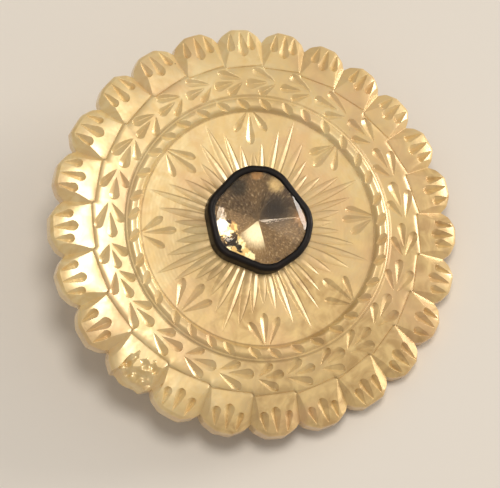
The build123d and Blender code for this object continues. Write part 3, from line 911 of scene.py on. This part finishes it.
# Painted reflections and highlights on the foil, with tarnish, from the setting's middle: x and y, reach in
# mm, colour, how much of it shows, and the share of the reach that has its full strength
FOIL_LIGHT_AND_TARNISH = (
    ((1.5, -0.6), 2.1, "#0C0704", 0.92, 0.15),
    ((1.2, 2.95), 1.0, "#1C1A12", 0.8, 0.4),
    ((3.3, 0.5), 0.95, "#CDB482", 0.75, 0.2),
    ((3.64, -1.27), 0.38, "#FFF6DC", 1.0, 0.6),
    ((3.42, -2.06), 0.38, "#FFF8E6", 1.0, 0.6),
    ((3.0, 2.3), 0.6, "#A87E50", 0.8, 0.5),
    ((2.2, -2.9), 0.9, "#8A6846", 0.7, 0.4),
)
FLAKES = (((-2.3, 1.75), 1.0), ((-3.1, 0.5), 1.05), ((-3.3, -0.85), 0.75))
FLAKE_TONES = ((0.0, "#20160E"), (0.2, "#D9BC80"), (0.42, "#FFF0C4"), (0.78, "#A8875A"), (0.9, "#3A2A1C"))
# Painted highlight: a white glint on the foil
GLINT_MIDDLE, GLINT_REACH, GLINT_TONE = (-2.25, 2.3), 0.55, "#FFFDF6"
# Painted reflection of the lamp: a bright wedge on one facet
LAMP_REFLECTION_MIDDLE, LAMP_REFLECTION_CORE, LAMP_REFLECTION_REACH = (-1.05, -0.4), 0.3, 1.7
DOT_MIDDLE, DOT_RADIUS, DOT_TONE = (-3.1, 0.15), 0.09, "#060403"
# Share of its reach that a flake, or the glint and the dot, has at full strength
FLAKE_CORE, SPOT_CORE = 0.85, 0.7
# A facet with more tone than this carries the painted reflection of the lamp
LAMP_FACET_TONE = 0.66


def tarnished_foil():
    """Silvered copper foil: tarnished brown, flaked near its edge, and painted with reflections and
    highlights where its facets mirrored their surroundings.

    It was burnished from the middle outwards, so fine lines run to its point.
    """
    colours = bpy.context.scene.button_colours
    material, tree, shader = new_material("silvered_foil")
    place = disc_place(tree)
    local = add(tree, "VectorMath", {0: place, 1: SETTING}, operation="SUBTRACT")
    flat = add(tree, "VectorMath", {0: local, 1: (1, 1, 0)}, operation="MULTIPLY")
    parts = add(tree, "SeparateXYZ", {"Vector": flat})
    turn = add(tree, "Math", {0: parts.outputs["Y"], 1: parts.outputs["X"]}, operation="ARCTAN2")
    reach = add(tree, "VectorMath", {0: flat}, operation="LENGTH")
    polar_place = add(tree, "CombineXYZ", {"X": turn, "Y": reach})
    spread = add(tree, "VectorMath", {0: polar_place, 1: (20.0, 3.0, 0)}, operation="MULTIPLY")
    burnish = add(tree, "TexNoise", {"Vector": spread, "Scale": 1.0, "Detail": 6.0, "Roughness": 0.75})
    grain = add(tree, "TexNoise", {"Vector": local, "Scale": 3.2, "Detail": 5.0, "Roughness": 0.7})
    facet_reflection = add(tree, "Attribute", attribute_name="tone").outputs["Fac"]
    streak = add(
        tree, "MapRange",
        {"Value": burnish, "From Min": 0.32, "From Max": 0.68, "To Min": -0.28, "To Max": 0.28})
    mottle = add(
        tree, "MapRange",
        {"Value": grain, "From Min": 0.32, "From Max": 0.68, "To Min": -0.12, "To Max": 0.12})
    uneven = add(tree, "Math", {0: streak, 1: mottle}, operation="ADD")
    tone = add(tree, "Math", {0: facet_reflection, 1: uneven}, operation="ADD")
    colour = add(
        tree, "Mix",
        {"Factor": tone, "A": (*colours.foil_dark, 1), "B": (*colours.foil, 1)}, data_type="RGBA")
    stray = add(tree, "VectorMath", {0: grain.outputs["Color"], 1: (0.5, 0.5, 0.5)}, operation="SUBTRACT")
    stray = add(tree, "VectorMath", {0: stray, "Scale": 0.9}, operation="SCALE")
    ragged = add(tree, "VectorMath", {0: flat, 1: stray}, operation="ADD")

    def within(point, middle, full, end, most):
        """Share of a patch that shows: most inside a full radius, none past its end."""
        away = add(tree, "VectorMath", {0: point, 1: (*middle, 0)}, operation="DISTANCE")
        return add(
            tree, "MapRange",
            {"Value": away, "From Min": full, "From Max": end, "To Min": most, "To Max": 0.0},
            interpolation_type="SMOOTHSTEP")

    # Painted highlights, painted reflections, tarnish and flakes on the foil, from the lowest up: the share
    # of each that shows, and its colour
    highlight_colour = (*colours.foil_highlight, 1)
    # Painted highlights: glints along the burnish lines
    painted_glints = add(tree, "MapRange", {"Value": burnish, "From Min": 0.56, "From Max": 0.76, "To Max": 0.7})
    # Painted reflection of the lamp in one facet, brightest towards the point
    lamp_facet = add(tree, "Math", {0: facet_reflection, 1: LAMP_FACET_TONE}, operation="GREATER_THAN")
    lamp_reflection = within(flat, LAMP_REFLECTION_MIDDLE, LAMP_REFLECTION_CORE, LAMP_REFLECTION_REACH, 1.0)
    lamp_reflection = add(tree, "Math", {0: lamp_reflection, 1: lamp_facet}, operation="MULTIPLY")
    speckle = add(tree, "MapRange", {"Value": burnish, "From Min": 0.3, "From Max": 0.5, "To Min": 0.45})
    lamp_reflection = add(tree, "Math", {0: lamp_reflection, 1: speckle}, operation="MULTIPLY")
    painted_light_and_marks = [(painted_glints, highlight_colour), (lamp_reflection, highlight_colour)]
    for middle, size, code, most, core in FOIL_LIGHT_AND_TARNISH:
        share = within(ragged, middle, size * core, size, most)
        share = add(tree, "Math", {0: share, 1: speckle}, operation="MULTIPLY")
        painted_light_and_marks.append((share, (*linear(code), 1)))
    # Broken flakes about half a millimetre across, on the side of the clean facet
    flakes = add(tree, "TexVoronoi", {"Vector": ragged, "Scale": 1.9})
    drawn = add(tree, "SeparateColor", {"Color": flakes.outputs["Color"]}).outputs["Green"]
    tones = add(tree, "ValToRGB", {"Fac": drawn})
    tones.color_ramp.interpolation = "CONSTANT"
    for count, (start, code) in enumerate(FLAKE_TONES):
        element = tones.color_ramp.elements[0] if count == 0 else tones.color_ramp.elements.new(start)
        element.color = (*linear(code), 1)
    tones.color_ramp.elements.remove(tones.color_ramp.elements[-1])
    for middle, size in FLAKES:
        painted_light_and_marks.append((within(ragged, middle, size * FLAKE_CORE, size, 1.0), tones))
    glint = within(ragged, GLINT_MIDDLE, GLINT_REACH * SPOT_CORE, GLINT_REACH, 1.0)
    dot = within(flat, DOT_MIDDLE, DOT_RADIUS * SPOT_CORE, DOT_RADIUS, 1.0)
    painted_light_and_marks += [(glint, (*linear(GLINT_TONE), 1)), (dot, (*linear(DOT_TONE), 1))]
    for share, upper in painted_light_and_marks:
        colour = add(tree, "Mix", {"Factor": share, "A": colour, "B": upper}, data_type="RGBA")

    gloss = add(
        tree, "MapRange", {"Value": grain, "From Min": 0.3, "From Max": 0.7, "To Min": 0.36, "To Max": 0.55})
    relief = add(tree, "Bump", {"Height": burnish, "Strength": 0.5, "Distance": 0.04 * MM})
    link(tree, shader, {
        "Base Color": colour, "Roughness": gloss, "Normal": relief, "Metallic": 0.5,
        "Specular IOR Level": 0.2,
    })
    return material


GLASS_TONE = "#FBF5E8"


def paste_glass():
    """Lead glass paste: clear, faintly warm and polished, with the hair scratches of long wear."""
    material, tree, shader = new_material("paste_glass")
    place = disc_place(tree)
    drawn = add(tree, "Mapping", {"Vector": place, "Rotation": (0, 0, 0.6), "Scale": (0.5, 9.0, 1.0)})
    hairs = add(tree, "TexNoise", {"Vector": drawn, "Scale": 1.0, "Detail": 6.0})
    gloss = add(
        tree, "MapRange", {"Value": hairs, "From Min": 0.5, "From Max": 0.75, "To Min": 0.02, "To Max": 0.09})
    relief = add(tree, "Bump", {"Height": hairs, "Strength": 0.08, "Distance": 0.01 * MM})
    link(tree, shader, {
        "Base Color": (*linear(GLASS_TONE), 1), "Roughness": gloss, "Normal": relief, "IOR": 1.48,
        "Transmission Weight": 1.0,
    })
    return material


def aged_brass():
    """Drawn and stamped brass: dull gold under a brown patina, brighter where cloth and thread rubbed it."""
    colours = bpy.context.scene.button_colours
    material, tree, shader = new_material("aged_brass")
    place = disc_place(tree)
    patina = add(tree, "TexNoise", {"Vector": place, "Scale": 0.9, "Detail": 6.0, "Roughness": 0.65})
    share = add(tree, "MapRange", {"Value": patina, "From Min": 0.35, "From Max": 0.65})
    tone = add(
        tree, "Mix",
        {"Factor": share, "A": (*colours.brass_dark, 1), "B": (*colours.brass, 1)}, data_type="RGBA")
    gloss = add(tree, "MapRange", {"Value": share, "To Min": 0.62, "To Max": 0.34})
    # Fine draw marks and specks, a tenth of a millimetre
    specks = add(tree, "TexNoise", {"Vector": place, "Scale": 8.0, "Detail": 2.0})
    relief = add(tree, "Bump", {"Height": specks, "Strength": 0.3, "Distance": 0.02 * MM})
    link(tree, shader, {"Base Color": tone, "Roughness": gloss, "Normal": relief, "Metallic": 1.0})
    return material


class BUTTON_OT_back(bpy.types.Operator):
    """Finishes the rivet, washer and wire eye"""

    bl_idname = "button.back"
    bl_label = "Back fittings"

    def execute(self, context):
        brass = aged_brass()
        for name in ("shank_post", "back_plate", "shank_loop"):
            node = frame["nodes"][name]
            node.data.materials.clear()
            node.data.materials.append(brass)
        return {"FINISHED"}


# View of the button, and the place of the disc's middle in a picture of 500 by 488
VIEW_AZIMUTH, VIEW_ELEVATION = -58.2, 68.4
VIEW_DISTANCE = 0.30
FRAME_WIDTH, FRAME_HEIGHT = 500, 488
PIXEL = 0.0831 * MM
DISC_PIXEL = (258.5, 228.0)
# The ceiling lamp stands where this place on the leaf band, which slopes outwards, mirrors it to the camera
GLARE_RADIUS, GLARE_TURN, GLARE_HEIGHT, GLARE_SLOPE = 12.3, 132.0, 2.55, 9.5
# Lamps: distance and width in m, and power in W. The side lamp's way is in shares of right, up the picture
# and upright.
CEILING_LAMP = (0.4, 0.13, 0.62)
SIDE_LAMP, SIDE_LAMP_WAY = (0.6, 0.28, 2.1), (0.93, 0.34, 0.12)
STUDIO_STRENGTH = 0.42
FLOOR_HALF = 0.6
SENSOR = 36.0
# Warm white of the lamps and of the studio's walls
LIGHT_TONE = "#FFF9F1"


def view_axes():
    """Right, up and towards the camera, in the row frame."""
    turn, rise = math.radians(VIEW_AZIMUTH), math.radians(VIEW_ELEVATION)
    towards = Vector((math.sin(turn) * math.cos(rise), -math.cos(turn) * math.cos(rise), math.sin(rise)))
    right = Vector((math.cos(turn), math.sin(turn), 0))
    return right, towards.cross(right), towards


def lamp(name, target, way, distance, width, power):
    """Round soft lamp that faces a target from a distance along a way."""
    data = bpy.data.lights.new(name, "AREA")
    data.shape = "DISK"
    data.size = width
    data.energy = power
    data.color = linear(LIGHT_TONE)
    made = bpy.data.objects.new(name, data)
    made.location = target + way * distance
    made.rotation_euler = way.to_track_quat("Z", "Y").to_euler()
    bpy.context.scene.collection.objects.link(made)


def matt_card():
    """Matt white card: pale and even, with a faint fibre."""
    colours = bpy.context.scene.button_colours
    material, tree, shader = new_material("matt_card")
    where = add(tree, "TexCoord")
    fibre = add(tree, "TexNoise", {"Vector": where.outputs["Object"], "Scale": 900.0, "Detail": 3.0})
    relief = add(tree, "Bump", {"Height": fibre, "Strength": 0.1, "Distance": 0.05 * MM})
    link(tree, shader, {"Base Color": (*colours.floor, 1), "Normal": relief, "Roughness": 0.9})
    return material


class BUTTON_OT_stage(bpy.types.Operator):
    """Sets the floor, the light and the camera"""

    bl_idname = "button.stage"
    bl_label = "Stage"

    def execute(self, context):
        scene = context.scene
        middle = REST @ Vector((0, 0, FIELD_HEIGHT))
        right, up, towards = view_axes()
        bm = bmesh.new()
        bmesh.ops.create_grid(bm, x_segments=1, y_segments=1, size=FLOOR_HALF)
        mesh = bpy.data.meshes.new("floor")
        bm.to_mesh(mesh)
        bm.free()
        floor = bpy.data.objects.new("floor", mesh)
        scene.collection.objects.link(floor)
        mesh.materials.append(matt_card())

        camera = bpy.data.objects.new("camera", bpy.data.cameras.new("camera"))
        scene.collection.objects.link(camera)
        scene.camera = camera
        aside = (FRAME_WIDTH / 2 - DISC_PIXEL[0]) * PIXEL
        above = (DISC_PIXEL[1] - FRAME_HEIGHT / 2) * PIXEL
        eye_point = middle + right * aside + up * above + towards * VIEW_DISTANCE
        turned = Matrix((right, up, towards)).transposed().to_4x4()
        camera.matrix_world = Matrix.Translation(eye_point) @ turned
        camera.data.sensor_width = SENSOR
        camera.data.lens = SENSOR * VIEW_DISTANCE / (FRAME_WIDTH * PIXEL)
        camera.data.clip_start = 0.01

        glare = REST @ polar(GLARE_RADIUS, GLARE_TURN, GLARE_HEIGHT)
        seen = (eye_point - glare).normalized()
        slope = math.radians(GLARE_SLOPE)
        axis = (REST.to_3x3() @ polar(math.sin(slope), GLARE_TURN, math.cos(slope))).normalized()
        lamp("ceiling_lamp", glare, 2 * seen.dot(axis) * axis - seen, *CEILING_LAMP)
        aside_share, up_share, rise = SIDE_LAMP_WAY
        side_way = (right * aside_share + up * up_share + Vector((0, 0, rise))).normalized()
        lamp("side_lamp", middle, side_way, *SIDE_LAMP)
        world = bpy.data.worlds.new("studio")
        scene.world = world
        world.use_nodes = True
        background = world.node_tree.nodes["Background"]
        link(world.node_tree, background, {"Color": (*linear(LIGHT_TONE), 1), "Strength": STUDIO_STRENGTH})
        scene.view_settings.view_transform = "Standard"
        return {"FINISHED"}


class BUTTON_PT_panel(bpy.types.Panel):
    """Sizes, colours and steps of the button"""

    bl_idname = "BUTTON_PT_panel"
    bl_label = "Carved button"
    bl_space_type = "VIEW_3D"
    bl_region_type = "UI"
    bl_category = "Button"

    def draw(self, context):
        for group in (context.scene.button_sizes, context.scene.button_colours):
            box = self.layout.box()
            for name in group.bl_rna.properties.keys():
                if name not in ("rna_type", "name"):
                    box.prop(group, name)
        for step in STEPS:
            self.layout.operator(step.bl_idname)


STEPS = (
    BUTTON_OT_disc, BUTTON_OT_setting, BUTTON_OT_stone, BUTTON_OT_foil, BUTTON_OT_back, BUTTON_OT_stage,
)
CLASSES = (ButtonSizes, ButtonColours, *STEPS, BUTTON_PT_panel)


def register():
    for kind in CLASSES:
        bpy.utils.register_class(kind)
    bpy.types.Scene.button_sizes = bpy.props.PointerProperty(type=ButtonSizes)
    bpy.types.Scene.button_colours = bpy.props.PointerProperty(type=ButtonColours)


def unregister():
    del bpy.types.Scene.button_sizes
    del bpy.types.Scene.button_colours
    for kind in reversed(CLASSES):
        bpy.utils.unregister_class(kind)


def main():
    register()
    bpy.ops.button.disc()
    bpy.ops.button.setting()
    bpy.ops.button.stone()
    bpy.ops.button.foil()
    bpy.ops.button.back()
    bpy.ops.button.stage()


if __name__ == "__main__":
    main()
